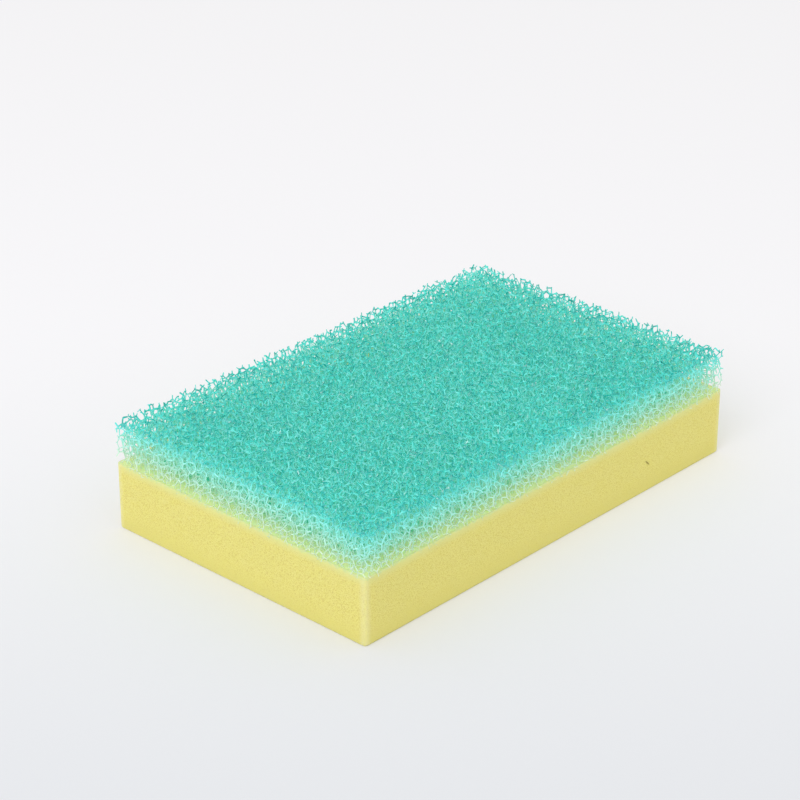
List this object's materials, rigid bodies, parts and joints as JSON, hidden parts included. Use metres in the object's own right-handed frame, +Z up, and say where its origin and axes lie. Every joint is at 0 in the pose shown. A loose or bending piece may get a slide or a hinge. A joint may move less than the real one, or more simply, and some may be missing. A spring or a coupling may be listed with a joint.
{
  "type": "cleaning sponge",
  "caption": "Flat two-layer hand sponge: a soft fine-celled foam block with an open-celled scouring layer bonded over its whole top.",
  "frame": {"origin": "middle of the underside, on the surface that the sponge lies on", "axes": "+X along the length, +Y along the width, +Z up through the thickness, from the soft foam to the scouring layer"},
  "size_m": [0.115, 0.072, 0.0255],
  "materials": {
    "soft_foam": "matte fine-celled foam, pale yellow, lighter along its cut edges",
    "scourer_foam": "open net of thin satin struts, teal on top and fading to white at the soft foam"
  },
  "bodies": {
    "root": {"soft_foam": "soft_foam", "scourer_foam": "scourer_foam"}
  },
  "joints": []
}
